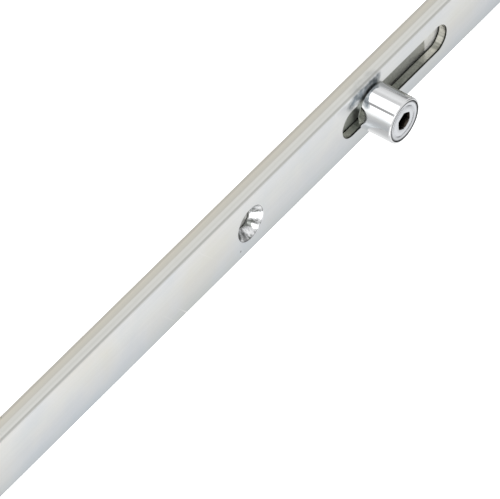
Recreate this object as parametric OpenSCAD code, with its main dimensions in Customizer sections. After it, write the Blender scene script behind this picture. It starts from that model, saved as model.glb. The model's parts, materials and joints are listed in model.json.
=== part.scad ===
// Multipoint door lock: a long steel faceplate with a sliding drive rod behind it, two eccentric
// roller cams that stand through slots in the faceplate, and a gearbox case with latch and deadbolt.
// The faceplate's back is the plane y = 0, its face looks along -Y, and the spindle is at z = 0.

/* [Faceplate] */
// Width of the faceplate
face_w = 16; // [16:0.5:20]
// Thickness of the faceplate
plate_t = 2.5; // [2.5:0.1:3]
// Rounding of the faceplate's two long front edges
edge_r = 0.5; // [0.2:0.1:0.8]
// Reach of the faceplate past each roller point
face_past = 72; // [70:1:110]
// Diameter of the screw holes
screw_hole_d = 4.8; // [4:0.1:5]
// Diameter of the countersinks at the face
sink_d = 9.1; // [8:0.1:9.4]
// Distance of each end screw from the end of the faceplate
end_screw_inset = 10; // [8:0.5:14]
// Distance of the lower inner screw above the lower roller
lower_screw_offset = 44.6; // [40:0.1:60]
// Distance of the upper inner screw below the upper roller
upper_screw_offset = 48; // [44:0.5:60]

/* [Roller points] */
// Distance of the lower roller below the spindle
lower_point = 267; // [250:1:270]
// Distance of the upper roller above the spindle
upper_point = 213; // [205:1:216]
// Width of the slots that the roller pins run in
slot_w = 7.6; // [7.2:0.1:8]
// Reach of a slot's upper end centre above the roller
slot_above = 7; // [4:0.5:9]
// Spare length between a slot's lower end and the thrown roller
slot_spare = 6.7; // [4:0.1:9]
// Diameter of the roller
roller_d = 11.3; // [11:0.1:13]
// Height of the roller's outer end above the face
roller_h = 9; // [8:0.1:11]
// Rounding of the roller's outer rim
rim_r = 0.45; // [0.2:0.05:0.5]
// Diameter of the pin's head in the roller
pin_head_d = 10; // [9:0.1:10.2]
// Thickness of the pin's head
pin_head_t = 3.6; // [3:0.1:4]
// Diameter of the journal that the roller turns on
journal_d = 6.8; // [6:0.1:7]
// Diameter of the pin's neck in the slot
neck_d = 6.8; // [6:0.1:7]
// Diameter of the pin's tail in the rod
tail_d = 5; // [4:0.1:5.4]
// Offset of the roller's axis from the pin's tail
eccentric = 0.8; // [0.3:0.1:1]
// Hexagon socket across its flats
socket_af = 4; // [3:0.5:5]
// Depth of the hexagon socket
socket_depth = 3; // [2:0.5:4]
// Diameter of the washer behind the rod
washer_d = 9; // [8:0.1:10]
// Thickness of the washer
washer_t = 0.8; // [0.5:0.1:1.2]
// Height of the pin's peened tail
peen_h = 1.1; // [0.8:0.1:1.5]

/* [Drive rods] */
// Width of the rods behind the faceplate
rod_w = 14.8; // [14:0.1:15]
// Thickness of the rods
rod_t = 2.4; // [2:0.1:2.6]
// Reach of each rod past its roller
rod_past = 40; // [34:1:44]
// Stroke of the drive
stroke = 18; // [14:0.5:18]

/* [Gearbox case] */
// Height of the case above the spindle
case_above = 84; // [84:1:92]
// Reach of the case below the cylinder's axis
below_cylinder = 34; // [34:1:38]
// Reach of the case behind the spindle's axis
behind_spindle = 21.5; // [21.5:0.5:30]
// Sheet thickness of the case and its cover
wall = 1.2; // [1:0.1:1.4]
// Width of the case
case_w = 15.6; // [15.2:0.1:15.8]
// Distance of the spindle and cylinder from the faceplate's back
backset = 25.5; // [25.5:0.5:26.5]
// Distance of the cylinder below the spindle
cylinder_drop = 92; // [90:1:94]
// Diameter of the round part of the cylinder opening
cylinder_d = 17.2; // [17:0.1:18]
// Width of the leg of the cylinder opening
cylinder_leg_w = 10.2; // [10:0.1:10.6]
// Reach of that leg below the cylinder's axis
cylinder_leg = 24.6; // [22:0.2:26]
// Diameter of the pillars between case and cover
pillar_d = 7; // [6:0.5:8]
// Diameter of the cover screws
cover_screw_d = 3; // [2.5:0.5:3.5]
// Diameter of the screws that hold the case to the faceplate
case_screw_d = 4; // [3:0.5:4]

/* [Followers] */
// Spindle hole across its flats
spindle_af = 8.1; // [7:0.1:9]
// Diameter of the follower hubs
hub_d = 18; // [17:0.5:19]
// Diameter of the hubs' journals in the case
hub_journal_d = 15; // [13:0.5:16]
// Module of the rack and gear teeth
tooth_module = 2; // [2:0.5:2]
// Number of teeth on a full circle of the gear
gear_teeth = 18; // [18:1:18]
// Thickness of the slide plate and the gear segment
slide_t = 1.6; // [1.2:0.1:1.8]

/* [Bolts] */
// Height of the deadbolt
deadbolt_h = 22; // [18:1:22]
// Distance of the deadbolt's middle below the spindle
deadbolt_drop = 35; // [35:0.5:36]
// Length of the deadbolt
deadbolt_len = 39; // [36:1:40]
// Diameter of the deadbolt's drive pin
deadbolt_pin_d = 4.5; // [4:0.5:5]
// Height of the latch bolt
latch_h = 18; // [16:1:18]
// Distance of the latch bolt's middle above the spindle
latch_rise = 33; // [33:0.5:35]
// Reach of the latch bolt out of the face
latch_out = 10; // [8:0.5:11]
// Wire diameter of the latch spring
wire_d = 0.9; // [0.6:0.1:1]
// Outer diameter of the latch spring
spring_d = 7; // [6:0.5:8]

/* [Clearances] */
// Gap between rod and faceplate
rod_gap = 0.15; // [0.1:0.05:0.3]
// Gap between roller and face
roller_gap = 0.3; // [0.2:0.1:0.6]
// Radial running clearance of turned fits
run = 0.05; // [0.02:0.01:0.1]
// Gap around the bolts in their openings
bolt_gap = 0.2; // [0.1:0.05:0.4]
// Clearance between sliding flat parts
slide_gap = 0.3; // [0.2:0.05:0.4]

/* [Hidden] */
$fn = 72;
e = 0.01;

// Heights of the roller points and of what lines up with them
points_z = [-lower_point, upper_point];
slot_below = stroke + slot_spare;
top_z = upper_point + face_past;
bottom_z = -lower_point - face_past;
screws_z = [bottom_z + end_screw_inset, -lower_point + lower_screw_offset,
    upper_point - upper_screw_offset, top_z - end_screw_inset];

// Depths, from the face backwards
face_y = -plate_t;
rod_y = rod_gap;
rod_back = rod_y + rod_t;
roller_end = face_y - roller_h;
head_gap = 0.1;
head_end = roller_end + head_gap;
head_back = head_end + pin_head_t;

// The case's inside
case_below = cylinder_drop + below_cylinder;
half = case_w/2;
inner = half - wall;
inner_bottom = -case_below + wall;
inner_top = case_above - wall;
back_y = backset + behind_spindle;

// The tapped end blocks, and the slide that runs between them in its own layer beside the cover
block_y = rod_back + 0.2;
block_h = 6.4;
block_t = 4.4;
slide_x1 = inner - slide_gap;
slide_x0 = slide_x1 - slide_t;
slide_back = rod_back + 11.45;
flange_t = 1.8;
flange_h = 12.7;
lower_stop = 1.4;
upper_stop = 0.9;
lower_block_z = inner_bottom;
upper_block_z = inner_top - block_h;
lower_flange_z = lower_block_z + block_h + stroke + lower_stop;
upper_flange_z = upper_block_z - upper_stop - flange_h;
case_screws_z = [lower_block_z + block_h/2, upper_block_z + block_h/2];
rivets_z = [lower_flange_z + flange_h/2, upper_flange_z + flange_h/2];
rivet_d = 5;
rivet_head_d = 8;
rivet_head_t = 1.2;

// The bolts share one layer between the case's side wall and the slide
bolt_x0 = -inner + 2*slide_gap;
bolt_x1 = slide_x0 - slide_gap - 0.1;
deadbolt_z0 = -deadbolt_drop - deadbolt_h/2;
latch_z0 = latch_rise - latch_h/2;
deadbolt_pin_y = face_y + deadbolt_len - 6.5;
deadbolt_pin_z = deadbolt_z0 + 4;
deadbolt_pin_in = 5;
latch_back = 9;
latch_nose = 2;
tail_x1 = bolt_x0 + 4;
tail_z = latch_z0 + 1;
tail_h = 4;
lug_y = backset + 4.5;
lug_t = 4;
finger_gap = 0.4;
finger_r = 2.5;
finger_reach = 16;
spring_x = bolt_x0 + 3.4;
spring_z = latch_z0 + latch_h - 5;
guide_y = back_y - 9;
guide_t = 1.5;
guide_h = 9;
guide_pin_d = 3;
guide_bore = 17;
guide_pin_front = latch_back - guide_bore + latch_out + 1;

// The gear and rack
pitch_r = tooth_module*gear_teeth/2;
pitch_y = backset - pitch_r;
pressure = 20;
addendum = 0.8*tooth_module;
dedendum = tooth_module;
backlash = 0.2;
rack_pitch = PI*tooth_module;

// Pillars between the case and its cover, as [y, z]
pillar_inset = wall + pillar_d/2 + 1.3;
pillar_y = back_y - pillar_inset;
pillars = [[pillar_y, inner_bottom + 5.5], [pillar_y, -cylinder_drop + 14],
    [pillar_y, -15], [pillar_y, inner_top - 5.5]];
thread_depth = 7;

// A cylinder from y0 to y1 along Y
module along_y(d, y0, y1, x = 0, z = 0) {
    translate([x, y0, z])
        rotate([-90, 0, 0])
            cylinder(d = d, h = y1 - y0);
}

// A cylinder from x0 to x1 along X
module along_x(d, x0, x1, y = 0, z = 0) {
    translate([x0, y, z])
        rotate([0, 90, 0])
            cylinder(d = d, h = x1 - x0);
}

// A box between two corners
module between(a, b) {
    translate(a)
        cube(b - a);
}

// A slot along Z with round ends, cut through from y0 to y1, its end centres at z0 and z1
module slot_cut(w, y0, y1, z0, z1) {
    along_y(w, y0, y1, 0, z0);
    along_y(w, y0, y1, 0, z1);
    between([-w/2, y0, z0], [w/2, y1, z1]);
}

// A profile drawn in the y-z plane, given thickness from x0 to x1
module plate_x(x0, x1) {
    translate([x0, 0, 0])
        rotate([90, 0, 90])
            linear_extrude(x1 - x0)
                children();
}

// A countersunk hole through the faceplate at height z
module sunk_hole(hole, sink, z) {
    along_y(hole, face_y - e, e, 0, z);
    translate([0, face_y - e, z])
        rotate([-90, 0, 0])
            cylinder(d1 = sink + 2*e, d2 = hole, h = (sink - hole)/2 + e);
}

// A countersunk screw along Y with its head flush at y0
module sunk_screw(d, sink, y0, y1, z) {
    along_y(d, y0, y1, 0, z);
    translate([0, y0, z])
        rotate([-90, 0, 0])
            cylinder(d1 = sink, d2 = d, h = (sink - d)/2);
}

// The faceplate's section, with both front edges rounded
function face_section() = concat(
    [[-face_w/2, 0]],
    [for (a = [0:18:90]) [-face_w/2 + edge_r*(1 - cos(a)), face_y + edge_r*(1 - sin(a))]],
    [for (a = [90:-18:0]) [face_w/2 - edge_r*(1 - cos(a)), face_y + edge_r*(1 - sin(a))]],
    [[face_w/2, 0]]);

// One steel strip, punched with the roller slots, the screw holes and the bolt openings
module faceplate() {
    color("silver")
        difference() {
            translate([0, 0, bottom_z])
                linear_extrude(top_z - bottom_z)
                    polygon(face_section());
            for (z = points_z)
                slot_cut(slot_w, face_y - 1, 1, z - slot_below, z + slot_above);
            for (z = screws_z)
                sunk_hole(screw_hole_d, sink_d, z);
            for (z = case_screws_z)
                sunk_hole(case_screw_d + 0.3, 2*case_screw_d, z);
            between([bolt_x0 - bolt_gap, face_y - 1, deadbolt_z0 - bolt_gap],
                [bolt_x1 + bolt_gap, 1, deadbolt_z0 + deadbolt_h + bolt_gap]);
            between([bolt_x0 - bolt_gap, face_y - 1, latch_z0 - bolt_gap],
                [bolt_x1 + bolt_gap, 1, latch_z0 + latch_h + bolt_gap]);
        }
}

// A flat rod: full width outside the case from z0 to z1, narrower from there to its inner end at
// z2. The case screw at screw_z passes through its long slot.
module drive_rod(z0, z1, z2, point_z, screw_z, rivet_z) {
    narrow = inner - 0.2;
    color("gainsboro")
        difference() {
            union() {
                between([-rod_w/2, rod_y, min(z0, z1)], [rod_w/2, rod_back, max(z0, z1)]);
                between([-narrow, rod_y, min(z0, z2)], [narrow, rod_back, max(z0, z2)]);
            }
            along_y(tail_d + 2*run, rod_y - 1, rod_back + 1, 0, point_z - eccentric);
            along_y(rivet_d, rod_y - 1, rod_back + 1, 0, rivet_z);
            slot_cut(case_screw_d + 0.6, rod_y - 1, rod_back + 1, screw_z, screw_z + stroke);
        }
}

module lower_drive_rod() {
    drive_rod(-lower_point - rod_past, -case_below - 1, lower_flange_z + flange_h + 2,
        -lower_point, case_screws_z[0], rivets_z[0]);
}

module upper_drive_rod() {
    drive_rod(upper_point + rod_past, case_above + stroke + 2, upper_flange_z - 1,
        upper_point, case_screws_z[1], rivets_z[1]);
}

// One straight-sided rack tooth with its middle at z, pointing back towards the gear
module rack_tooth(z) {
    half_t = rack_pitch/4 - backlash/2;
    lean = tan(pressure);
    polygon([[pitch_y - dedendum - 1, z - half_t - lean*dedendum],
        [pitch_y - dedendum, z - half_t - lean*dedendum],
        [pitch_y + addendum, z - half_t + lean*addendum],
        [pitch_y + addendum, z + half_t - lean*addendum],
        [pitch_y - dedendum, z + half_t + lean*dedendum],
        [pitch_y - dedendum - 1, z + half_t + lean*dedendum]]);
}

// The folded slide: a side plate with the rack and the slanted slot, and a flange at each end that
// is riveted to a rod
module rack_slide() {
    z0 = lower_flange_z;
    z1 = upper_flange_z + flange_h;
    rack_z0 = -rack_pitch - 6;
    rack_z1 = stroke + rack_pitch + 8;
    cam_edge = 6;
    cam_z = deadbolt_pin_z - cam_edge;
    cam_y = deadbolt_pin_y + cam_edge;
    color("darkgray") {
        difference() {
            union() {
                plate_x(slide_x0, slide_x1) {
                    difference() {
                        union() {
                            translate([rod_back, z0])
                                square([slide_back - rod_back, z1 - z0]);
                            polygon([[rod_back, cam_z], [cam_y, cam_z],
                                [cam_y, deadbolt_pin_z + 4],
                                [cam_y - stroke, deadbolt_pin_z + stroke + 4.5],
                                [rod_back, deadbolt_pin_z + stroke + 4.5]]);
                        }
                        translate([pitch_y - dedendum, rack_z0])
                            square([slide_back - pitch_y + dedendum + 1, rack_z1 - rack_z0]);
                        translate([slide_back - 3.5, -cylinder_drop + 4])
                            square([4, 12]);
                    }
                    for (k = [-1:3])
                        rack_tooth((k + 0.5)*rack_pitch);
                }
                for (z = [z0, upper_flange_z])
                    between([bolt_x0, rod_back, z], [slide_x1, rod_back + flange_t, z + flange_h]);
            }
            for (t = [0, stroke])
                along_x(deadbolt_pin_d + 4*run, slide_x0 - 1, slide_x1 + 1,
                    deadbolt_pin_y - t, deadbolt_pin_z + t);
            translate([slide_x0 - 1, deadbolt_pin_y, deadbolt_pin_z])
                rotate([45, 0, 0])
                    translate([0, -deadbolt_pin_d/2 - run, 0])
                        cube([slide_t + 2, deadbolt_pin_d + 2*run, stroke*sqrt(2)]);
            for (z = rivets_z)
                along_y(rivet_d, rod_y - 1, rod_back + flange_t + 1, 0, z);
        }
    }
}

// Two rivets that join the rods to the slide's flanges
module rod_rivets() {
    color("lightgray")
        for (z = rivets_z) {
            along_y(rivet_d, rod_y, rod_back + flange_t, 0, z);
            along_y(rivet_head_d, rod_back + flange_t, rod_back + flange_t + rivet_head_t, 0, z);
        }
}

// A turned sleeve with a counterbore for the pin's head. Its profile is [radius, depth].
module roller(point_z) {
    r = roller_d/2;
    bore = journal_d/2 + run;
    step = pin_head_d/2 + head_gap;
    break = 0.3;
    h = roller_h - roller_gap;
    depth = head_back - roller_end + head_gap;
    profile = concat(
        [[bore, 0], [r - break, 0], [r, break]],
        [for (a = [0:15:90]) [r - rim_r*(1 - cos(a)), h - rim_r*(1 - sin(a))]],
        [[step + run, h], [step, h - run], [step, h - depth], [bore, h - depth]]);
    color("whitesmoke")
        translate([0, face_y - roller_gap, point_z])
            rotate([90, 0, 0])
                rotate_extrude()
                    polygon(profile);
}

module lower_roller() {
    roller(-lower_point);
}

module upper_roller() {
    roller(upper_point);
}

// One turned pin: head and journal on the roller's axis, neck and tail off it by the eccentric,
// and the tail's end peened over the washer
module roller_pin(point_z) {
    tail_z0 = point_z - eccentric;
    washer_back = rod_back + washer_t;
    break = 0.25;
    peen_d = tail_d + 2.4;
    color("lightsteelblue")
        difference() {
            union() {
                translate([0, 0, point_z]) {
                    translate([0, head_end, 0])
                        rotate([-90, 0, 0])
                            cylinder(d1 = pin_head_d - 2*break, d2 = pin_head_d, h = break);
                    along_y(pin_head_d, head_end + break, head_back);
                    along_y(journal_d, head_back - e, face_y);
                }
                along_y(neck_d, face_y - e, rod_y - 0.05, 0, tail_z0);
                along_y(tail_d, rod_y - 0.1, washer_back + e, 0, tail_z0);
                translate([0, washer_back, tail_z0])
                    rotate([-90, 0, 0])
                        cylinder(d1 = peen_d, d2 = tail_d, h = peen_h);
            }
            translate([0, head_end - e, point_z])
                rotate([-90, 0, 0])
                    cylinder(d = socket_af/cos(30), h = socket_depth, $fn = 6);
        }
}

module lower_roller_pin() {
    roller_pin(-lower_point);
}

module upper_roller_pin() {
    roller_pin(upper_point);
}

// The washers between the rods and the peened tails
module pin_washers() {
    color("lightgray")
        for (z = points_z)
            difference() {
                along_y(washer_d, rod_back, rod_back + washer_t, 0, z - eccentric);
                along_y(tail_d + 2*run, rod_back - 1, rod_back + washer_t + 1, 0, z - eccentric);
            }
}

// The outline of the cylinder opening in the y-z plane
module cylinder_outline() {
    translate([backset, -cylinder_drop]) {
        circle(d = cylinder_d);
        translate([-cylinder_leg_w/2, -cylinder_leg + cylinder_leg_w/2])
            square([cylinder_leg_w, cylinder_leg - cylinder_leg_w/2]);
        translate([0, -cylinder_leg + cylinder_leg_w/2])
            circle(d = cylinder_leg_w);
    }
}

// The folded tray, with a tapped block at each end for the screws through the faceplate
module case_body() {
    color("gray")
        difference() {
            union() {
                difference() {
                    between([-half, 0, -case_below], [inner, back_y, case_above]);
                    between([-inner, -1, inner_bottom], [inner + 1, back_y - wall, inner_top]);
                    between([-inner, -1, -case_below - 1], [inner + 1, block_y, case_above + 1]);
                }
                for (z = [lower_block_z, upper_block_z])
                    between([-inner, block_y, z], [slide_x1, block_y + block_t, z + block_h]);
            }
            plate_x(-half - 1, -inner + 1)
                cylinder_outline();
            along_x(hub_journal_d + 2*run, -half - 1, -inner + 1, backset, 0);
            for (z = case_screws_z)
                along_y(case_screw_d + 2*run, rod_back, block_y + block_t + 1, 0, z);
        }
}

// The flat cover on the open side
module case_cover() {
    sink = 2*cover_screw_d - 0.6;
    color("dimgray")
        difference() {
            between([inner, 0, -case_below], [half, back_y, case_above]);
            plate_x(inner - 1, half + 1)
                cylinder_outline();
            along_x(hub_journal_d + 2*run, inner - 1, half + 1, backset, 0);
            for (p = pillars) {
                along_x(cover_screw_d + 2*run, inner - 1, half + 1, p[0], p[1]);
                translate([half + e, p[0], p[1]])
                    rotate([0, -90, 0])
                        cylinder(d1 = sink + 2*run, d2 = cover_screw_d + 2*run,
                            h = (sink - cover_screw_d)/2 + e);
            }
        }
}

// The turned pillars that carry the cover
module case_pillars() {
    color("silver")
        for (p = pillars)
            difference() {
                along_x(pillar_d, -inner, inner, p[0], p[1]);
                along_x(cover_screw_d + 2*run, inner - thread_depth, inner + 1, p[0], p[1]);
            }
}

// The countersunk screws of the cover, each with a driver slot
module cover_screws() {
    sink = 2*cover_screw_d - 0.6;
    slot_t = cover_screw_d/5;
    slot_len = sink - 1.4;
    slot_depth = 0.7;
    color("silver")
        for (p = pillars)
            difference() {
                union() {
                    along_x(cover_screw_d, inner - thread_depth + 0.5, half, p[0], p[1]);
                    translate([half, p[0], p[1]])
                        rotate([0, -90, 0])
                            cylinder(d1 = sink, d2 = cover_screw_d, h = (sink - cover_screw_d)/2);
                }
                between([half - slot_depth, p[0] - slot_len/2, p[1] - slot_t/2],
                    [half + 1, p[0] + slot_len/2, p[1] + slot_t/2]);
            }
}

// The countersunk screws that hold the case to the faceplate, each with a hexagon socket
module case_screws() {
    socket = 2.5;
    depth = 1.4;
    color("silver")
        for (z = case_screws_z)
            difference() {
                sunk_screw(case_screw_d, 2*case_screw_d - 0.2, face_y, rod_back + block_t, z);
                translate([0, face_y - e, z])
                    rotate([-90, 0, 0])
                        cylinder(d = socket/cos(30), h = depth, $fn = 6);
            }
}

// Points of one gear tooth's flank by the involute of the base circle, from the root outwards
base_r = pitch_r*cos(pressure);
root_r = pitch_r - dedendum;
tip_r = pitch_r + addendum;
function involute(r) = r <= base_r ? 0 : sqrt(pow(r/base_r, 2) - 1)*180/PI - acos(base_r/r);
half_tooth = (90 - backlash*90/(PI*tooth_module))/gear_teeth;
function flank(r) = half_tooth + involute(pitch_r) - involute(r);
radii = [for (i = [0:8]) root_r + (tip_r - root_r)*i/8];

// One gear tooth that points along -Y, turned upwards by angle a
module gear_tooth(a) {
    polygon([for (s = [-1, 1]) for (i = [0:8])
        let (r = s < 0 ? radii[i] : radii[8 - i], q = a + s*flank(r))
            [backset - r*cos(q), r*sin(q)]]);
}

// The drive follower: a hub with the square spindle hole, a journal in the cover and a gear segment
module follower() {
    step = 360/gear_teeth;
    a0 = -1.5*step;
    a1 = 4.5*step;
    color("dimgray")
        difference() {
            union() {
                along_x(hub_d, 0.2, inner - 0.1, backset, 0);
                along_x(hub_journal_d, inner - 0.1, half, backset, 0);
                plate_x(slide_x0, slide_x1) {
                    intersection() {
                        translate([backset, 0])
                            circle(r = root_r + 0.1);
                        polygon(concat([[backset, 0]],
                            [for (i = [0:6]) let (a = a0 + (a1 - a0)*i/6)
                                [backset - 1.2*tip_r*cos(a), 1.2*tip_r*sin(a)]]));
                    }
                    for (k = [-1:4])
                        gear_tooth(k*step);
                }
            }
            between([-1, backset - spindle_af/2, -spindle_af/2],
                [half + 1, backset + spindle_af/2, spindle_af/2]);
        }
}

// The latch follower: a hub with the same square hole, a journal in the case and one finger
module latch_follower() {
    finger_y = lug_y - finger_gap - finger_r;
    x0 = bolt_x0;
    color("slategray")
        difference() {
            union() {
                along_x(hub_d, -inner + 0.1, -0.2, backset, 0);
                along_x(hub_journal_d, -half, -inner + 0.1, backset, 0);
                between([x0, finger_y - finger_r, 0], [tail_x1, finger_y + finger_r, finger_reach]);
                along_x(2*finger_r, x0, tail_x1, finger_y, finger_reach);
            }
            between([-half - 1, backset - spindle_af/2, -spindle_af/2],
                [1, backset + spindle_af/2, spindle_af/2]);
        }
}

// The square-edged deadbolt, flush with the face when drawn back
module deadbolt() {
    color("lightgray")
        difference() {
            between([bolt_x0, face_y, deadbolt_z0],
                [bolt_x1, face_y + deadbolt_len, deadbolt_z0 + deadbolt_h]);
            along_x(deadbolt_pin_d, bolt_x1 - deadbolt_pin_in, bolt_x1 + 1, deadbolt_pin_y,
                deadbolt_pin_z);
        }
}

// The pin that the slide's slanted slot pushes
module deadbolt_pin() {
    color("silver")
        along_x(deadbolt_pin_d, bolt_x1 - deadbolt_pin_in, slide_x1 - 0.1, deadbolt_pin_y,
            deadbolt_pin_z);
}

// The bevelled latch bolt with its tail, its lug for the follower and its bore for the guide pin
module latch_bolt() {
    tip_y = face_y - latch_out;
    color("lightgray")
        difference() {
            union() {
                translate([0, 0, latch_z0])
                    linear_extrude(latch_h)
                        polygon([[bolt_x0, latch_back], [bolt_x0, tip_y], [bolt_x0 + latch_nose, tip_y],
                            [bolt_x1, face_y], [bolt_x1, latch_back]]);
                between([bolt_x0, latch_back - e, tail_z], [tail_x1, lug_y + lug_t, tail_z + tail_h]);
                between([bolt_x0, lug_y, hub_d/2 + 1.5], [tail_x1, lug_y + lug_t, tail_z + e]);
            }
            along_y(guide_pin_d + 0.4, latch_back - guide_bore, latch_back + 1, spring_x, spring_z);
        }
}

// The bracket behind the latch, with the pin that carries the spring
module latch_guide() {
    color("silver") {
        between([-inner, guide_y, spring_z - guide_h/2],
            [bolt_x1, guide_y + guide_t, spring_z + guide_h/2]);
        along_y(guide_pin_d, guide_pin_front, guide_y + e, spring_x, spring_z);
    }
}

// The latch's compression spring, one round wire wound around the guide pin
module latch_spring() {
    turns = 9;
    sides = 8;
    rings = 16*turns;
    coil_r = (spring_d - wire_d)/2;
    y0 = latch_back + wire_d/2 + 0.1;
    y1 = guide_y - wire_d/2 - 0.1;
    function centre(i) = [spring_x + coil_r*cos(i*360/16), y0 + (y1 - y0)*i/rings,
        spring_z + coil_r*sin(i*360/16)];
    function ring(i) = [for (j = [0:sides - 1])
        let (a = j*360/sides, b = i*360/16, r = wire_d/2)
            centre(i) + [r*cos(a)*cos(b), r*sin(a), r*cos(a)*sin(b)]];
    points = [for (i = [0:rings]) each ring(i)];
    faces = concat(
        [[for (j = [0:sides - 1]) j]],
        [for (i = [0:rings - 1]) for (j = [0:sides - 1])
            [i*sides + j, (i + 1)*sides + j, (i + 1)*sides + (j + 1)%sides, i*sides + (j + 1)%sides]],
        [[for (j = [sides - 1:-1:0]) rings*sides + j]]);
    color("lightgray")
        polyhedron(points, faces);
}

faceplate();
lower_drive_rod();
upper_drive_rod();
rack_slide();
rod_rivets();
lower_roller();
upper_roller();
lower_roller_pin();
upper_roller_pin();
pin_washers();
case_body();
case_cover();
case_pillars();
cover_screws();
case_screws();
follower();
latch_follower();
deadbolt();
deadbolt_pin();
latch_bolt();
latch_guide();
latch_spring();
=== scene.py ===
import json
import math

import bmesh
import bpy
import numpy as np
from mathutils import Matrix, Vector

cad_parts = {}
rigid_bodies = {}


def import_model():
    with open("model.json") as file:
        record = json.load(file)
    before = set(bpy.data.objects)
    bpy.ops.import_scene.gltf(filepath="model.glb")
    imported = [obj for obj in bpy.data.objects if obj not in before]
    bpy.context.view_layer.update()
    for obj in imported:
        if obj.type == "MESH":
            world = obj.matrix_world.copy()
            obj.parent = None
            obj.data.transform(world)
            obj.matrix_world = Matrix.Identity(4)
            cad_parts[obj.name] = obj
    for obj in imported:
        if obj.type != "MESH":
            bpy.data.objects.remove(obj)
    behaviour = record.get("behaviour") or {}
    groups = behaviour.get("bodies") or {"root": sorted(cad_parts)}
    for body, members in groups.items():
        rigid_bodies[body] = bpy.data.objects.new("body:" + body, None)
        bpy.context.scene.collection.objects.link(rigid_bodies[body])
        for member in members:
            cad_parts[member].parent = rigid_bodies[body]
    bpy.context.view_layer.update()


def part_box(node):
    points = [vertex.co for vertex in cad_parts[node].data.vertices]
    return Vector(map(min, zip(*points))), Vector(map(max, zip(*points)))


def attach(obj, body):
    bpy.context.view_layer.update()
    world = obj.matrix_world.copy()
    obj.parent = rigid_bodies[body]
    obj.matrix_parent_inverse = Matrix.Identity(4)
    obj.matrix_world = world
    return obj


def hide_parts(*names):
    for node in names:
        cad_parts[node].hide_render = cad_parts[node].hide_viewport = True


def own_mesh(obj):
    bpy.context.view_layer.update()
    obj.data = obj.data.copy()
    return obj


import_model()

# Camera. A long lens looks down along the lower roller point from outside the door's edge, turned
# about its own axis so that the faceplate runs from the lower left to the upper right.
MM = 0.001
azimuth, elevation, roll = math.radians(59.24), math.radians(32.28), math.radians(-134.69)
distance = 1.3545
lens, sensor_width = 439.8, 36
aim = Vector((-21.15, 5.61, -231.65))*MM
back = Vector((math.sin(azimuth)*math.cos(elevation),
               -math.cos(azimuth)*math.cos(elevation), math.sin(elevation)))
level_right = Vector((0, 0, 1)).cross(back).normalized()
level_up = back.cross(level_right)
right = math.cos(roll)*level_right + math.sin(roll)*level_up
up = back.cross(right)
camera = bpy.data.objects.new("camera", bpy.data.cameras.new("camera"))
camera.data.lens = lens
camera.data.sensor_width = sensor_width
camera.data.clip_start = 0.01
camera.data.clip_end = 50
camera.matrix_world = Matrix((right, up, back)).transposed().to_4x4()
camera.matrix_world.translation = aim + distance*back
bpy.context.collection.objects.link(camera)
bpy.context.scene.camera = camera
bpy.context.scene.view_settings.view_transform = "Standard"


# Floor. A plain pale sheet well below the lock, white to the camera. It is left out of reflections
# and casts no light, so that the metal sees only the studio.
floor_z, floor_half = -0.75, 12.0
floor_colour, floor_glow = (0.9, 0.9, 0.9, 1), 0.75
floor_mesh = bpy.data.meshes.new("floor")
floor_corners = np.array([(-1, -1), (1, -1), (1, 1), (-1, 1)])*floor_half
floor_mesh.from_pydata([(x, y, floor_z) for x, y in floor_corners], [], [(0, 1, 2, 3)])
floor = bpy.data.objects.new("floor", floor_mesh)
bpy.context.collection.objects.link(floor)
floor_finish = bpy.data.materials.new("pale_floor")
floor_finish.use_nodes = True
floor_shader = floor_finish.node_tree.nodes["Principled BSDF"]
floor_shader.inputs["Base Color"].default_value = floor_colour
floor_shader.inputs["Roughness"].default_value = 1.0
floor_shader.inputs["Emission Color"].default_value = (1, 1, 1, 1)
floor_shader.inputs["Emission Strength"].default_value = floor_glow
floor_mesh.materials.append(floor_finish)
floor.visible_glossy = floor.visible_diffuse = floor.visible_shadow = False


# Light. A studio wrapped round the axis that points out of the face: two wide white boxes on the
# cover's side with a dark gap between them, a dark wall beneath and grey elsewhere. Straight ahead
# of the face, and straight to its sides, the studio is even instead.
# wrap: brightness over the degrees about -Y, from +X towards +Z.
wrap = ((-180, 0.86), (-146, 0.92), (-128, 0.66), (-112, 0.26), (-78, 0.20), (-60, 0.72),
        (-36, 0.88), (-22, 0.66), (-14, 0.72), (-10, 1.7), (30, 1.7), (34, 0.40), (42, 0.36),
        (46, 1.7), (78, 1.7), (84, 0.62), (120, 0.50), (150, 0.60), (180, 0.86))
# even: the even studio's brightness over the direction's Y, and wrap_share: how far wrap counts.
even = ((-1.0, 0.66), (-0.95, 0.68), (-0.75, 0.86), (-0.4, 0.86), (0.0, 0.80), (1.0, 0.80))
wrap_share = ((-1.0, 0.0), (-0.78, 0.0), (-0.55, 1.0), (-0.32, 1.0), (-0.2, 0.0), (0.2, 0.0),
              (0.32, 1.0), (1.0, 1.0))


def node_of(tree, kind, **values):
    """A shader node of one kind with its properties and default inputs set."""
    node = tree.nodes.new(kind)
    for key, value in values.items():
        if key in node.inputs:
            node.inputs[key].default_value = value
        else:
            setattr(node, key, value)
    return node


def worked(tree, operation, *sources):
    """One step of arithmetic on sockets."""
    node = node_of(tree, "ShaderNodeMath", operation=operation)
    for source, target in zip(sources, node.inputs):
        tree.links.new(source, target)
    return node.outputs[0]


def parts_of(tree, vector):
    """The X, Y and Z of a vector socket."""
    node = node_of(tree, "ShaderNodeSeparateXYZ")
    tree.links.new(vector, node.inputs[0])
    return tuple(node.outputs)


def opaque(colour):
    """A colour, or one grey, with its alpha."""
    return (*colour, 1) if isinstance(colour, tuple) else (colour, colour, colour, 1)


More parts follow.
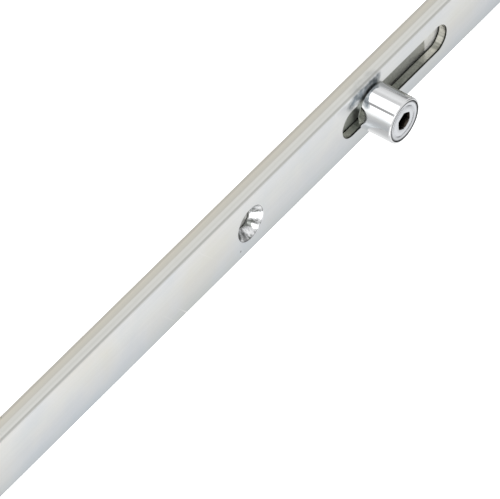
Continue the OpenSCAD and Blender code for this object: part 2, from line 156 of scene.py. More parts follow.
def ramp(tree, source, stops):
    """A colour ramp over a socket with (position, colour) stops, where a colour may be one grey."""
    node = node_of(tree, "ShaderNodeValToRGB")
    elements = node.color_ramp.elements
    while len(elements) < len(stops):
        elements.new(0.5)
    for element, (position, colour) in zip(elements, stops):
        element.position = position
        element.color = opaque(colour)
    tree.links.new(source, node.inputs["Fac"])
    return node.outputs["Color"]


def run_of(tree, source, stops, unit=MM):
    """A colour ramp whose stops lie at values of the socket, counted in a unit."""
    first, last = stops[0][0], stops[-1][0]
    span = node_of(tree, "ShaderNodeMapRange", **{"From Min": first*unit, "From Max": last*unit})
    tree.links.new(source, span.inputs["Value"])
    places = [((value - first)/(last - first), colour) for value, colour in stops]
    return ramp(tree, span.outputs["Result"], places)


def mix(tree, factor, a, b, blend="MIX"):
    """Colour a blended to colour b by a factor, each a socket or a value."""
    node = node_of(tree, "ShaderNodeMix", data_type="RGBA", blend_type=blend)
    for key, value in ((0, factor), (6, a), (7, b)):
        if hasattr(value, "is_linked"):
            tree.links.new(value, node.inputs[key])
        else:
            node.inputs[key].default_value = value if key == 0 else opaque(value)
    return node.outputs[2]


def soft_box(name, place, target, width, height, watts):
    """A rectangular area light at place that faces target, with sizes in metres."""
    data = bpy.data.lights.new(name, "AREA")
    data.shape = "RECTANGLE"
    data.size, data.size_y, data.energy = width, height, watts
    light = bpy.data.objects.new(name, data)
    direction = Vector(target) - Vector(place)
    light.rotation_euler = direction.to_track_quat("-Z", "Y").to_euler()
    light.location = place
    bpy.context.collection.objects.link(light)


world = bpy.data.worlds.new("studio")
bpy.context.scene.world = world
world.use_nodes = True
sky = world.node_tree
sky_x, sky_y, sky_z = parts_of(sky, node_of(sky, "ShaderNodeTexCoord").outputs["Generated"])
sky_degrees = worked(sky, "DEGREES", worked(sky, "ARCTAN2", sky_z, sky_x))
studio = mix(sky, run_of(sky, sky_y, wrap_share, 1.0), run_of(sky, sky_y, even, 1.0),
             run_of(sky, sky_degrees, wrap, 1.0))
# The camera itself sees plain white behind the lock.
to_camera = node_of(sky, "ShaderNodeLightPath").outputs["Is Camera Ray"]
sky.links.new(mix(sky, to_camera, studio, 1.0), sky.nodes["Background"].inputs["Color"])
lower_point = (0.0, 0.0, -0.25)
soft_box("front", (0.42, -1.08, 0.05), lower_point, 0.36, 0.30, 0.8)
soft_box("left_high", (-0.62, -0.92, 0.42), lower_point, 0.85, 0.35, 1.5)


# Faceplate. One strip of steel, punched with two roller slots, four countersunk screw holes and the
# openings of the bolts, then zinc plated. Its long front edges are slightly rounded.
def limits(node):
    """The lowest and highest corners of a frame node at rest, in millimetres."""
    return np.round(np.array([list(corner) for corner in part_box(node)])/MM, 3)


(_, face_y, plate_low), (face_half, _, plate_high) = limits("faceplate")
plate_t, edge_r = -face_y, 0.5
slot_r, slot_up, slot_down = 3.8, 7.0, 24.7
points_z = tuple(limits(node)[:, 2].mean() for node in ("lower_roller", "upper_roller"))
screws_z = (-329.0, -222.4, 165.0, 275.0)
case_screws_z = (-121.6, 79.6)
# A countersink's cone is broken by a narrow lip at the face and by a small foot at the bore.
screw_r, sink_r, screw_lip = 2.4, 4.55, 0.08
case_screw_r, case_sink_r, case_lip = 2.15, 4.0, 0.05
lip_drop, sink_foot = 0.03, 0.05
bolt_x0, bolt_x1 = -6.2, 4.5
bolts_z = ((-46.2, -23.8), (23.8, 42.2))
punch_r, rim_r = 0.6, 0.18
margin = 4.0
rim_steps, edge_steps, corner_steps = 5, 7, 9


def plate_openings():
    """The strip's openings from the bottom up.

    Each is the x and z of its middle, the half width and half height to the centres of its corner
    arcs, their radius, and a profile of (growth, depth) pairs: the outline grown by each is one row
    of the opening's wall. Punched rims are a quarter round, and countersinks a 45 degree cone.
    """
    front, rear = -plate_t, 0.0
    turn = np.linspace(0, math.pi/2, rim_steps)
    punched = [*zip(rim_r*(1 - np.sin(turn)), front + rim_r*(1 - np.cos(turn))), (0.0, rear)]
    sink, case_sink = sink_r - screw_r, case_sink_r - case_screw_r
    drilled = [(sink + screw_lip, front), (sink, front + lip_drop),
               (sink_foot, front + sink + lip_drop - sink_foot), (0.0, front + sink + lip_drop),
               (0.0, rear)]
    case_drilled = [(case_sink + case_lip, front), (case_sink, front + lip_drop),
                    (0.0, front + case_sink), (0.0, rear)]
    slot_middle, slot_half = (slot_up - slot_down)/2, (slot_up + slot_down)/2
    openings = [(0, z + slot_middle, 0, slot_half, slot_r, punched) for z in points_z]
    openings += [(0, z, 0, 0, screw_r, drilled) for z in screws_z]
    openings += [(0, z, 0, 0, case_screw_r, case_drilled) for z in case_screws_z]
    openings += [((bolt_x0 + bolt_x1)/2, (z0 + z1)/2, (bolt_x1 - bolt_x0)/2 - punch_r,
                  (z1 - z0)/2 - punch_r, punch_r, punched) for z0, z1 in bolts_z]
    return sorted(openings, key=lambda opening: opening[1])


def opening_loop(cx, cz, a, b, r, edges):
    """A rounded rectangle's outline and its match on the surrounding rectangle.

    The outline is four arcs of radius r about the corners (cx +- a, cz +- b). Each arc's angles
    include the one that points at the outer rectangle's corner, and each point's partner is where
    a ray from its arc's centre leaves that rectangle.
    """
    x0, x1, z0, z1 = edges
    inner, outer = [], []
    for sx, sz, quarter in ((1, 1, 0), (-1, 1, 1), (-1, -1, 2), (1, -1, 3)):
        centre = np.array((cx + sx*a, cz + sz*b))
        far_x = x1 if sx > 0 else x0
        far_z = z1 if sz > 0 else z0
        corner = math.atan2(abs(far_z - centre[1]), abs(far_x - centre[0]))
        if quarter % 2:
            corner = math.pi/2 - corner
        angle = np.concatenate((np.linspace(0, corner, corner_steps)[:-1],
                                np.linspace(corner, math.pi/2, corner_steps)))
        angle = angle + quarter*math.pi/2
        ray = np.stack((np.cos(angle), np.sin(angle)), 1)
        reach_x = np.abs(far_x - centre[0])/np.maximum(np.abs(ray[:, 0]), 1e-9)
        reach_z = np.abs(far_z - centre[1])/np.maximum(np.abs(ray[:, 1]), 1e-9)
        inner.append(centre + r*ray)
        outer.append(centre + np.minimum(reach_x, reach_z)[:, None]*ray)
    return np.concatenate(inner), np.concatenate(outer)


def grid_faces(rows, columns, closed=True):
    """Quads between neighbouring rows of a grid of points, joined round when closed."""
    r = np.arange(rows - 1)[:, None]
    c = np.arange(columns if closed else columns - 1)[None, :]
    n = (c + 1) % columns
    quads = np.stack((r*columns + c, r*columns + n, (r + 1)*columns + n, (r + 1)*columns + c), -1)
    return quads.reshape(-1, 4)


def pierced_plate():
    """The strip's surface: a ring of faces around each opening, plain lengths between, and edges.

    A ring's rows are its opening's profile between the surrounding rectangle in front and behind.
    The long edges are one profile, a quarter round and a flat side, carried along every height
    where a face starts. Heights closer than same_height count as one.
    """
    same_height = 1e-5
    x = face_half - edge_r
    front, rear = -plate_t, 0.0
    points, faces, heights = [], [], {plate_low, plate_high}

    def add(rows, polygons):
        start = sum(len(p) for p in points)
        points.append(rows)
        faces.extend((polygons + start).tolist())

    def plain(z0, z1):
        for y in (front, rear):
            add(np.array([(-x, y, z0), (x, y, z0), (x, y, z1), (-x, y, z1)]), np.arange(4)[None])
        heights.update((z0, z1))

    last = plate_low
    for cx, cz, a, b, r, profile in plate_openings():
        reach = b + r + margin
        z0, z1 = cz - reach, cz + reach
        plain(last, z0)
        loops = [opening_loop(cx, cz, a, b, r + grow, (-x, x, z0, z1)) for grow, _ in profile]
        outer = loops[0][1]
        rows = [np.insert(outer, 1, front, axis=1)]
        rows += [np.insert(inner, 1, y, axis=1) for (inner, _), (_, y) in zip(loops, profile)]
        rows += [np.insert(outer, 1, rear, axis=1)]
        add(np.concatenate(rows), grid_faces(len(rows), len(outer)))
        beside_edge = np.abs(np.abs(outer[:, 0]) - x) < 1e-6
        heights.update(np.round(outer[beside_edge, 1], 7).tolist())
        last = z1
    plain(last, plate_high)
    stations = np.array(sorted(heights))
    stations = stations[np.concatenate(([True], np.diff(stations) > same_height))]
    turn = np.linspace(0, math.pi/2, edge_steps)
    edge = np.stack((x + edge_r*np.sin(turn), front + edge_r*(1 - np.cos(turn))), 1)
    edge = np.concatenate((edge, [(face_half, rear), (x, rear)]))
    for side in (1, -1):
        rows = np.empty((len(stations), len(edge), 3))
        rows[:, :, :2] = edge*(side, 1)
        rows[:, :, 2] = stations[:, None]
        add(rows.reshape(-1, 3), grid_faces(len(stations), len(edge), closed=False))
    end = np.concatenate((edge, edge[::-1]*(-1, 1)))
    for z in (plate_low, plate_high):
        add(np.insert(end, 2, z, axis=1), np.arange(len(end))[None])
    return np.concatenate(points), faces


def surface(name, points, faces):
    """A mesh from points in millimetres and lists of faces."""
    mesh = bpy.data.meshes.new(name)
    mesh.from_pydata((points*MM).tolist(), [], faces)
    return mesh


def add_piece(name, mesh, finish, body, node, angle=35.0, flat=False, rounding=0.0):
    """A piece on one body in the place of one frame node.

    Its points are welded, its triangles merged into flat faces if flat, its faces turned outwards,
    its folds above an angle in degrees kept sharp, and its edges rounded, in millimetres.
    """
    piece = bpy.data.objects.new(name, mesh)
    bpy.context.collection.objects.link(piece)
    form = bmesh.new()
    form.from_mesh(mesh)
    bmesh.ops.remove_doubles(form, verts=form.verts, dist=1e-6)
    if flat:
        bmesh.ops.dissolve_limit(form, angle_limit=math.radians(1.0), verts=form.verts,
                                 edges=form.edges)
    else:
        bmesh.ops.dissolve_degenerate(form, edges=form.edges, dist=1e-7)
    bmesh.ops.recalc_face_normals(form, faces=form.faces)
    form.to_mesh(mesh)
    form.free()
    mesh.shade_smooth()
    mesh.set_sharp_from_angle(angle=math.radians(angle))
    mesh.materials.clear()
    mesh.materials.append(finish)
    if rounding:
        bevel = piece.modifiers.new("rounding", "BEVEL")
        bevel.width = rounding*MM
        bevel.segments = 3
        bevel.limit_method = "ANGLE"
        bevel.angle_limit = math.radians(50)
        bevel.use_clamp_overlap = True
    weighted = piece.modifiers.new("flat_faces", "WEIGHTED_NORMAL")
    weighted.keep_sharp = True
    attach(piece, body)
    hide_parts(node)
    return piece


def metal(name, roughness):
    """A new material with an all-metal shader, and its tree and shader."""
    finish = bpy.data.materials.new(name)
    finish.use_nodes = True
    tree = finish.node_tree
    shader = tree.nodes["Principled BSDF"]
    shader.inputs["Metallic"].default_value = 1.0
    shader.inputs["Roughness"].default_value = roughness
    return finish, tree, shader


def stretched(tree, scale=(1, 1, 1), turn=(0, 0, 0), centre=(0, 0, 0)):
    """Object coordinates, scaled by scale about centre and turned."""
    mapping = node_of(tree, "ShaderNodeMapping", vector_type="TEXTURE", Location=centre,
                      Rotation=turn, Scale=scale)
    where = node_of(tree, "ShaderNodeTexCoord")
    tree.links.new(where.outputs["Object"], mapping.inputs["Vector"])
    return mapping.outputs["Vector"]


def noise(tree, vector, scale, detail=3.0, rough=0.55):
    """Noise of one scale over a vector."""
    node = node_of(tree, "ShaderNodeTexNoise", Scale=scale, Detail=detail, Roughness=rough)
    tree.links.new(vector, node.inputs["Vector"])
    return node.outputs["Fac"]


def times(tree, a, b):
    """The product of two colours or factors."""
    return mix(tree, 1.0, a, b, "MULTIPLY")


def bump(tree, shader, height, strength, distance):
    """Relief from a height socket for the shader, with a strength and a distance in metres."""
    node = node_of(tree, "ShaderNodeBump", Strength=strength, Distance=distance)
    tree.links.new(height, node.inputs["Height"])
    tree.links.new(node.outputs["Normal"], shader.inputs["Normal"])


def relaid(tree, shader, socket, factor, value):
    """Lays value over what already feeds one of the shader's inputs, as far as factor says."""
    target = shader.inputs[socket]
    under = target.links[0].from_socket if target.is_linked else target.default_value
    tree.links.new(mix(tree, factor, under, value), target)


def plated_strip(name, across, through, side_from, side_to, roughness):
    """Zinc plate on rolled strip. Tones run across the face and, on the sheared sides, through the
    thickness, as (millimetre, colour) stops over X and Y. Over them lie cool and warm clouds, fine
    rolling lines and a few slanted scratches. The sides begin between side_from and side_to from
    the middle. Returns the material with the sockets that later layers need."""
    finish, tree, shader = metal(name, roughness)
    flat = stretched(tree)
    x, y, z = parts_of(tree, flat)
    lines = noise(tree, stretched(tree, (1, 1, 45)), 900, 4, 0.7)
    rolled = ramp(tree, lines, [(0.3, 0.90), (0.7, 1.0)])
    cool, neutral, warm = (0.93, 0.955, 0.985), (1.0, 1.0, 0.995), (1.0, 0.985, 0.94)
    clouds = ramp(tree, noise(tree, flat, 42, 4), [(0.34, cool), (0.50, neutral), (0.66, warm)])
    slanted = stretched(tree, (1, 1, 30), (0, math.radians(52), 0))
    scratch = ramp(tree, noise(tree, slanted, 700, 1.5, 0.5), [(0.70, 0.0), (0.74, 1.0)])
    patch = ramp(tree, noise(tree, flat, 21, 1), [(0.52, 0.0), (0.64, 0.6)])
    tone = times(tree, run_of(tree, x, across), clouds)
    tone = mix(tree, 0.5, tone, rolled, "MULTIPLY")
    tone = mix(tree, times(tree, scratch, patch), tone, (0.93, 0.92, 0.90))
    sheared = mix(tree, 0.6, run_of(tree, y, through), rolled, "MULTIPLY")
    far = worked(tree, "ABSOLUTE", x)
    side = run_of(tree, far, [(side_from, 0.0), (side_to, 1.0)])
    tree.links.new(mix(tree, side, tone, sheared), shader.inputs["Base Color"])
    relief = mix(tree, 0.5, lines, noise(tree, flat, 2600, 2))
    tree.links.new(ramp(tree, relief, [(0.2, roughness - 0.07), (0.8, roughness + 0.07)]),
                   shader.inputs["Roughness"])
    bump(tree, shader, relief, 0.2, 0.00003)
    return finish, tree, shader, {"flat": flat, "y": y, "z": z, "far": far}


def spot(tree, centre, near, far, breakup=0.0):
    """One inside near of a point, fading to zero at far, in millimetres, and broken by noise."""
    where = stretched(tree)
    gap = node_of(tree, "ShaderNodeVectorMath", operation="DISTANCE")
    gap.inputs[1].default_value = Vector(centre)*MM
    tree.links.new(where, gap.inputs[0])
    fade = node_of(tree, "ShaderNodeMapRange", interpolation_type="SMOOTHSTEP",
                   **{"From Min": far*MM, "From Max": near*MM})
    tree.links.new(gap.outputs["Value"], fade.inputs["Value"])
    if not breakup:
        return fade.outputs["Result"]
    grain = ramp(tree, noise(tree, where, 900), [(0.35, 1 - breakup), (0.6, 1.0)])
    return times(tree, fade.outputs["Result"], grain)


# Across the face the tones are painted shading: darker towards -X with painted shade on that
# rounded edge, lighter towards +X with a painted highlight on that rounded edge.
shaded_face_tones = [(-8.0, (0.42, 0.44, 0.45)), (-7.6, (0.60, 0.63, 0.65)), (-7.0, (0.64, 0.675, 0.695)),
              (-4.0, (0.73, 0.75, 0.77)), (0.0, (0.80, 0.81, 0.81)), (3.0, (0.85, 0.86, 0.845)),
              (7.3, (0.90, 0.905, 0.90)), (7.6, (0.98, 0.98, 0.97)), (8.0, (0.98, 0.98, 0.97))]
# On the sheared sides the dark band 0.4 mm behind the face is a painted shade line on the edge's
# rounding.
side_tones_and_shade = [(-2.5, (0.80, 0.80, 0.78)), (-2.3, (0.70, 0.70, 0.68)), (-2.1, (0.56, 0.56, 0.53)),
              (-1.85, (0.64, 0.64, 0.61)), (-1.6, (0.84, 0.84, 0.81)), (-0.9, (0.76, 0.76, 0.72)),
              (-0.4, (0.82, 0.82, 0.78)), (0.0, (0.80, 0.79, 0.75))]
faceplate_steel, tree, shader, at = plated_strip("faceplate_steel", shaded_face_tones, side_tones_and_shade,
                                                 7.78, 7.9, 0.36)
# Inside its openings the punched steel is darker and smoother, with streaks through the thickness
# and painted shade of the burr at the front.
below_face = run_of(tree, at["y"], [(-2.47, 0.0), (-2.40, 1.0), (-0.04, 1.0), (-0.01, 0.0)])
sunk = times(tree, below_face, run_of(tree, at["far"], [(7.0, 1.0), (7.2, 0.0)]))
streaks = noise(tree, stretched(tree, (1, 25, 1)), 700, 3, 0.6)
streaked = [(0.40, (0.20, 0.21, 0.20)), (0.50, (0.74, 0.75, 0.76)), (0.60, (0.98, 0.99, 1.0))]
relaid(tree, shader, "Base Color", sunk, ramp(tree, streaks, streaked))
relaid(tree, shader, "Roughness", sunk, 0.2)
# Painted shade of the burr along the front of each opening's wall.
burr_shade = run_of(tree, at["y"], [(-2.5, 0.7), (-2.4, 0.7), (-2.25, 0.0)])
relaid(tree, shader, "Base Color", times(tree, sunk, burr_shade), (0.16, 0.165, 0.16))
# The slots' walls are greasy with painted shade at the roller and bare with a painted highlight
# at the long end, with painted shade along the top and the foot of the wall.
# Bare streaked steel, its colour raised to a painted highlight.
bare_and_highlight = ramp(tree, streaks, [(0.38, (0.46, 0.46, 0.41)), (0.52, (1.0, 0.98, 0.90))])
mottle = noise(tree, at["flat"], 1500, 4, 0.7)
# Mottled grease, darkened as painted shade.
grease_and_shade = ramp(tree, mottle, [(0.32, (0.17, 0.185, 0.16)), (0.66, (0.36, 0.38, 0.335))])
# Painted shade along the top of the wall and at its foot, where the gap to the rod lies.
wall_edge_shade = run_of(tree, at["y"], [(-2.5, 1.0), (-2.15, 1.0), (-1.9, 0.0), (-0.5, 0.0), (-0.35, 1.0),
                              (0.0, 1.0)])
for z in points_z:
    # How far the grease and painted shade reach along the slot, most at the roller.
    grease_and_shade_share = run_of(tree, at["z"], [(z - 29, 0.15), (z - 24, 0.25), (z - 19, 0.75), (z - 5, 1.0),
                                  (z + 4, 1.0), (z + 7, 0.45), (z + 12, 0.45)])
    wall = times(tree, sunk, run_of(tree, at["z"], [(z - 29.5, 0.0), (z - 29, 1.0), (z + 11, 1.0),
                                                    (z + 11.5, 0.0)]))
    relaid(tree, shader, "Base Color", wall, mix(tree, grease_and_shade_share, bare_and_highlight, grease_and_shade))
    relaid(tree, shader, "Metallic", times(tree, wall, grease_and_shade_share), 0.4)
    relaid(tree, shader, "Base Color", times(tree, wall, wall_edge_shade), (0.03, 0.032, 0.028))
# Beside each roller the face carries a painted shadow and reflection of the roller, and it has one
# small pit near the lower inner screw. Each painted shadow is (x, height above the roller's axis,
# radius of its core, radius where it ends).
roller_shadows = ((6.9, -1.0, 1.6, 3.0), (6.6, 2.6, 2.0, 3.2), (6.5, 5.2, 1.4, 2.8), (6.0, 7.4, 0.4, 2.1))
on_face = run_of(tree, at["far"], [(7.4, 1.0), (7.9, 0.25)])
for z in points_z:
    for x, height, near, far in roller_shadows:
        roller_shadow = times(tree, spot(tree, (x, -plate_t, z + height), near, far, 0.5), on_face)
        relaid(tree, shader, "Base Color", roller_shadow, (0.19, 0.22, 0.24))
pit = (-5.43, -plate_t, -218.4)
relaid(tree, shader, "Base Color", spot(tree, pit, 0.12, 0.34), (0.25, 0.25, 0.25))
add_piece("faceplate_strip", surface("faceplate_strip", *pierced_plate()), faceplate_steel,
          "frame", "faceplate")


# Rollers. Turned steel sleeves, ground and chromed, with a rounded rim and a counterbore for the
# pin's head. Each turns on its pin.
(_, roller_low, _), (roller_r, roller_high, _) = limits("lower_roller")
roller_top, roller_gap = -plate_t - roller_low, -plate_t - roller_high
base_round, rim_round, mouth_round = 0.3, 0.4, 0.08
head_r, head_depth, head_clear = 5.0, 3.6, 0.1
journal_r, journal_clear = 3.4, 0.05


def turned(profile, centre_z, sides=144):
    """A turned form about the axis along -Y at height centre_z.

    Each row of the profile is (radius, height out of the face, hexagon share, sideways shift): the
    radius at an angle is the circle's, or the hexagon's with that distance across its flats.
    """
    radius, height, share, shift = np.array(profile, float).T[:, :, None]
    angle = np.arange(sides)*2*math.pi/sides
    hexagon = 1/np.cos((angle % (math.pi/3)) - math.pi/6)
    r = radius*(1 + share*(hexagon - 1))
    points = np.stack((r*np.cos(angle), np.broadcast_to(-plate_t - height, r.shape),
                       centre_z + shift + r*np.sin(angle)), -1)
    return points.reshape(-1, 3), grid_faces(len(profile), sides).tolist()


def rows_of(pairs, share=0.0, shift=0.0):
    """Profile rows from (radius, height) pairs with one hexagon share and one shift."""
    return [(radius, height, share, shift) for radius, height in pairs]


def arc(radius, height, r, first, last, steps):
    """Points of an arc about (radius, height), between two angles in degrees."""
    angles = np.radians(np.linspace(first, last, steps))
    return [*zip(radius + r*np.cos(angles), height + r*np.sin(angles))]


def chrome(name, tint, roughness, centre_z):
    """Polished chrome with a faint haze and very fine turning rings about the roller's axis, with
    painted shade in the ring gap round the pin's head and dark brown in its socket."""
    finish, tree, shader = metal(name, roughness)
    haze = noise(tree, stretched(tree), 260)
    tree.links.new(ramp(tree, haze, [(0.3, tuple(0.95*c for c in tint)), (0.7, tint)]),
                   shader.inputs["Base Color"])
    tree.links.new(ramp(tree, haze, [(0.35, roughness - 0.03), (0.7, roughness + 0.05)]),
                   shader.inputs["Roughness"])
    centred = stretched(tree, centre=(0, 0, centre_z*MM))
    rings = node_of(tree, "ShaderNodeTexWave", wave_type="RINGS", rings_direction="Y", Scale=900,
                    Distortion=0.6)
    tree.links.new(centred, rings.inputs["Vector"])
    bump(tree, shader, rings.outputs["Fac"], 0.12, 0.00001)
    x, y, z = parts_of(tree, centred)
    level = node_of(tree, "ShaderNodeCombineXYZ")
    tree.links.new(x, level.inputs["X"])
    tree.links.new(z, level.inputs["Z"])
    radius = node_of(tree, "ShaderNodeVectorMath", operation="LENGTH")
    tree.links.new(level.outputs[0], radius.inputs[0])
    # Painted shade in the ring gap between the roller's counterbore and the pin's head.
    ring_gap_shade = run_of(tree, radius.outputs["Value"], [(4.45, 0.0), (4.72, 0.7), (4.86, 1.0),
                                                      (5.17, 1.0), (5.28, 0.0)])
    socket = run_of(tree, radius.outputs["Value"], [(2.2, 1.0), (2.42, 0.0)])

    def below_rim(depth):
        """One from a depth under the roller's rim down to the floor of the pin's socket."""
        rim_y, socket_floor, fade, last_fade = -plate_t - roller_top, 4.2, 0.05, 0.1
        return run_of(tree, y, [(rim_y + depth, 0.0), (rim_y + depth + fade, 1.0),
                                (rim_y + socket_floor, 1.0),
                                (rim_y + socket_floor + last_fade, 0.0)])

    relaid(tree, shader, "Base Color", times(tree, ring_gap_shade, below_rim(0.02)), (0.10, 0.105, 0.11))
    relaid(tree, shader, "Base Color", times(tree, socket, below_rim(0.11)), (0.06, 0.05, 0.042))
    return finish


bore_r = head_r + head_clear
bore_floor = roller_top - head_clear - head_depth - head_clear
hole_r = journal_r + journal_clear
roller_profile = rows_of(
    [(hole_r, roller_gap), (roller_r - base_round, roller_gap)]
    + arc(roller_r - base_round, roller_gap + base_round, base_round, -90, 0, 5)
    + arc(roller_r - rim_round, roller_top - rim_round, rim_round, 0, 80, 8)
    + arc(bore_r + mouth_round, roller_top - mouth_round, mouth_round, 90, 180, 4)
    + [(bore_r, bore_floor), (hole_r, bore_floor), (hole_r, roller_gap)])
for body, z in zip(("lower_roller", "upper_roller"), points_z):
    roller_chrome = chrome(body + "_chrome", (0.90, 0.91, 0.92), 0.09, z)
    sleeve = surface(body + "_sleeve", *turned(roller_profile, z))
    add_piece(body + "_sleeve", sleeve, roller_chrome, body, body, 40)


# Roller pins. One turned piece each: a flush head with a hexagon socket, the journal of the roller,
# then the neck in the slot and the tail, off centre by the eccentric and peened behind the rod.
neck_r, tail_r, eccentric = 3.4, 2.5, -0.8
face_clear, rod_clear, neck_step = 0.08, 0.05, 0.01
socket_r, socket_depth, drill_point = 2.0, 3.0, 0.9
foot_in, foot_up = 0.15, 0.1
# The socket's mouth turns from the hexagon into a round chamfer, in steps of (growth, depth,
# hexagon share).
mouth = ((0.0, 0.18, 1.0), (0.12, 0.03, 0.8), (0.22, 0.0, 0.55), (0.9, 0.0, 0.0))
ring_r, ring_half, ring_depth = 3.85, 0.15, 0.12
head_round = 0.22
peen_r, peen_lip, peen_fall = 1.2, 0.05, 1.9
pole_r = 0.02
rod_front = plate_t + limits("lower_drive_rod")[0, 1]
head_top = -plate_t - limits("lower_roller_pin")[0, 1]
behind = -plate_t - limits("pin_washers")[1, 1]
peen_h = behind + plate_t + limits("lower_roller_pin")[1, 1]
socket_floor = head_top - socket_depth
shoulder = rod_clear - rod_front
socket_rows = rows_of([(pole_r, socket_floor - drill_point)])
socket_rows += rows_of([(socket_r - foot_in, socket_floor), (socket_r, socket_floor + foot_up)],
                       share=1)
socket_rows += [(socket_r + growth, head_top - depth, share, 0) for growth, depth, share in mouth]
head_rows = rows_of([(ring_r - ring_half, head_top), (ring_r, head_top - ring_depth),
                     (ring_r + ring_half, head_top)]
                    + arc(head_r - head_round, head_top - head_round, head_round, 90, 0, 6)
                    + [(head_r, head_top - head_depth), (journal_r, head_top - head_depth),
                       (journal_r, face_clear + neck_step)])
peen = [(tail_r + peen_r - peen_fall*s**2, behind - peen_h*math.sin(s*math.pi/2))
        for s in np.linspace(0, 1, 7)[1:]]
tail_rows = rows_of([(neck_r, face_clear), (neck_r, shoulder), (tail_r, shoulder), (tail_r, behind),
                     (tail_r + peen_r - peen_lip, behind)]
                    + peen + [(pole_r, behind - peen_h)], shift=eccentric)
pin_profile = socket_rows + head_rows + tail_rows
pins = (("lower_pin", "lower_roller_pin"), ("upper_pin", "upper_roller_pin"))
for (body, node), z in zip(pins, points_z):
    pin_chrome = chrome(node + "_chrome", (0.80, 0.82, 0.85), 0.17, z)
    pin = surface(node + "_turned", *turned(pin_profile, z))
    add_piece(node + "_turned", pin, pin_chrome, body, node, 40)


# Drive rods. Flat zinc plated strip with sheared warm grey sides, which slides behind the
# faceplate. Each is riveted to the slide in the case and carries one roller pin.
rod_face_tones = [(-8.0, (0.60, 0.60, 0.57)), (8.0, (0.64, 0.63, 0.60))]
rod_side_tones = [(0.15, (0.80, 0.79, 0.74)), (0.55, (0.68, 0.66, 0.60)), (1.0, (0.71, 0.69, 0.62)),
                  (1.7, (0.75, 0.72, 0.64)), (2.1, (0.62, 0.60, 0.53)), (2.4, (0.60, 0.58, 0.52)),
                  (2.55, (0.44, 0.42, 0.38))]
rod_steel, tree, shader, at = plated_strip("rod_steel", rod_face_tones, rod_side_tones,
                                           7.1, 7.3, 0.4)
# In the slots the rod is mottled and greasy, with painted shade darkest at the roller, a painted
# lighter grey at the slot's short end and a painted white highlight at its long end.
in_slot = times(tree, run_of(tree, at["far"], [(4.2, 1.0), (4.8, 0.0)]),
                run_of(tree, at["y"], [(0.1, 1.0), (0.3, 0.0)]))
mottle = noise(tree, at["flat"], 1500, 4, 0.7)
# Mottled grease, darkened as painted shade.
grease_and_shade = ramp(tree, mottle, [(0.32, (0.17, 0.185, 0.165)), (0.68, (0.38, 0.40, 0.36))])
for z in points_z:
    grease_and_shade_share = run_of(tree, at["z"], [(z - 31, 0.0), (z - 27, 0.25), (z - 20, 0.75), (z - 4, 1.0),
                                  (z + 11, 1.0), (z + 12, 0.0)])
    # A painted lighter grey at the slot's short end.
    lighter_short_end = run_of(tree, at["z"], [(z + 3, 0.0), (z + 4, 1.0), (z + 12, 1.0)])
    # A painted white highlight at the slot's long end, not metallic.
    long_end_highlight = run_of(tree, at["z"], [(z - 31, 0.0), (z - 30.5, 1.0), (z - 23.7, 1.0),
                                    (z - 23.3, 0.0)])
    grease_and_shade_mask = times(tree, in_slot, grease_and_shade_share)
    relaid(tree, shader, "Base Color", grease_and_shade_mask, mix(tree, lighter_short_end, grease_and_shade, (0.66, 0.70, 0.62)))
    relaid(tree, shader, "Metallic", grease_and_shade_mask, 0.3)
    relaid(tree, shader, "Base Color", times(tree, in_slot, long_end_highlight), (0.95, 0.95, 0.93))
    relaid(tree, shader, "Metallic", times(tree, in_slot, long_end_highlight), 0.0)


def softened(node, finish, body, rounding):
    """A copy of a frame node with its triangles merged into flat faces and its edges rounded."""
    source = next(o for o in bpy.data.objects if o.type == "MESH" and o.name == node)
    mesh = source.data.copy()
    mesh.name = node + "_finished"
    add_piece(node + "_finished", mesh, finish, body, node, flat=True, rounding=rounding)


for node in ("lower_drive_rod", "upper_drive_rod"):
    softened(node, rod_steel, "drive", 0.12)


# Slide and rivets. One plate of zinc plated strip, punched with its rack and slanted slot and
# folded. It joins the rods inside the case, with a solid steel rivet through each rod.
def plain_metal(name, colour, roughness, drawn=(0.05, 0.05, 1), streak=0.5, grain=1500,
                relief=0.000004):
    """Plated or sintered metal with soft clouds and fine grain, and lines along the axis that
    drawn leaves long, as strong as streak says."""
    finish, tree, shader = metal(name, roughness)
    flat = stretched(tree)
    shade = tuple(0.88*c for c in colour)
    clouds = ramp(tree, noise(tree, flat, 45, 4), [(0.3, shade), (0.7, colour)])
    lines = ramp(tree, noise(tree, stretched(tree, drawn), 40, 3, 0.7), [(0.3, 0.82), (0.7, 1.0)])
    tree.links.new(mix(tree, streak, clouds, lines, "MULTIPLY"), shader.inputs["Base Color"])
    fine = noise(tree, flat, grain)
    tree.links.new(ramp(tree, fine, [(0.3, roughness - 0.02), (0.7, roughness + 0.03)]),
                   shader.inputs["Roughness"])
    bump(tree, shader, fine, 0.2, relief)
    return finish


slide_steel = plain_metal("slide_steel", (0.62, 0.62, 0.60), 0.38)
washer_steel = plain_metal("washer_steel", (0.70, 0.69, 0.66), 0.32)
softened("rack_slide", slide_steel, "drive", 0.12)
softened("rod_rivets", washer_steel, "drive", 0.2)


# Pin washers. Two punched and zinc plated rings of the rivets' steel, each held against its rod by
# the pin's peened tail.
softened("pin_washers", washer_steel, "drive", 0.12)


# Case. A tray folded from zinc plated sheet, with brushing lines along it and two blocks for the
# faceplate's screws, and a flat cover of the same sheet. Four turned pillars keep them apart.
case_steel = plain_metal("case_steel", (0.66, 0.68, 0.69), 0.36)
cover_steel = plain_metal("cover_steel", (0.66, 0.68, 0.69), 0.34)
screw_steel = plain_metal("screw_steel", (0.74, 0.73, 0.70), 0.28, streak=0.1, grain=600)
softened("case_body", case_steel, "frame", 0.25)
softened("case_cover", cover_steel, "frame", 0.15)
softened("case_pillars", screw_steel, "frame", 0.15)


# Screws. Countersunk and zinc plated: slotted ones through the cover into the pillars, and ones
# with a hexagon socket through the faceplate into the case's blocks. Their heads are flush.
softened("cover_screws", screw_steel, "frame", 0.0)
softened("case_screws", screw_steel, "frame", 0.0)


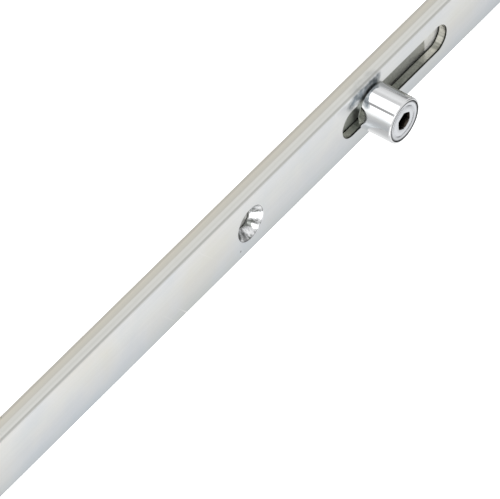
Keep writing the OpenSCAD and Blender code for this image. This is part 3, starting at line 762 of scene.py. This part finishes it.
# Followers. Two sintered hubs, grey and slightly porous, that turn in the case side by side. One
# has a gear segment for the slide's rack and the other a finger for the latch.
cast_zinc = plain_metal("cast_zinc", (0.40, 0.41, 0.43), 0.48, streak=0.1, grain=900,
                        relief=0.00002)
softened("follower", cast_zinc, "follower", 0.12)
softened("latch_follower", cast_zinc, "latch_follower", 0.2)


# Deadbolt. A block cut from bar, nickel plated, with grinding lines along its travel. Its steel
# pin is pressed in and runs in the slide's slanted slot.
bolt_steel = plain_metal("bolt_steel", (0.72, 0.72, 0.70), 0.26, drawn=(0.05, 1, 0.05))
softened("deadbolt", bolt_steel, "deadbolt", 0.35)
softened("deadbolt_pin", screw_steel, "deadbolt", 0.15)


# Latch and its guide. A bevelled bolt of the same bar that slides on the guide's pin. The guide is
# a bracket of zinc plated steel fixed in the case.
softened("latch_bolt", bolt_steel, "latch", 0.3)
softened("latch_guide", screw_steel, "frame", 0.15)


# Latch spring. Drawn round wire wound about the guide's pin between the latch and the guide, with
# its end coils laid flat.
wire_r, turns, flat_share = 0.45, 9, 0.06
spring_low, spring_high = limits("latch_spring")
spring_x, _, spring_z = (spring_low + spring_high)/2
coil_r = (spring_high[0] - spring_low[0])/2 - wire_r
spring_y0, spring_y1 = spring_low[1] + wire_r, spring_high[1] - wire_r


def spring_surface(rings=360, sides=14):
    """A circle of the wire's radius carried along a helix, which has no rise at its two ends."""
    t = np.linspace(0, 1, rings)[:, None]
    turn = t*turns*2*math.pi
    rise = np.clip((t - flat_share)/(1 - 2*flat_share), 0, 1)
    a = np.linspace(0, 2*math.pi, sides, endpoint=False)[None, :]
    reach = coil_r + wire_r*np.cos(a)
    y = spring_y0 + (spring_y1 - spring_y0)*rise + wire_r*np.sin(a)
    points = np.stack((spring_x + reach*np.cos(turn), y, spring_z + reach*np.sin(turn)), -1)
    faces = grid_faces(rings, sides).tolist()
    faces += [list(range(sides))[::-1], list(range((rings - 1)*sides, rings*sides))]
    return points.reshape(-1, 3), faces


spring_steel = plain_metal("spring_steel", (0.52, 0.52, 0.53), 0.3)
spring = add_piece("latch_spring_wire", surface("latch_spring_wire", *spring_surface()),
                   spring_steel, "frame", "latch_spring", 60)
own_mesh(spring)
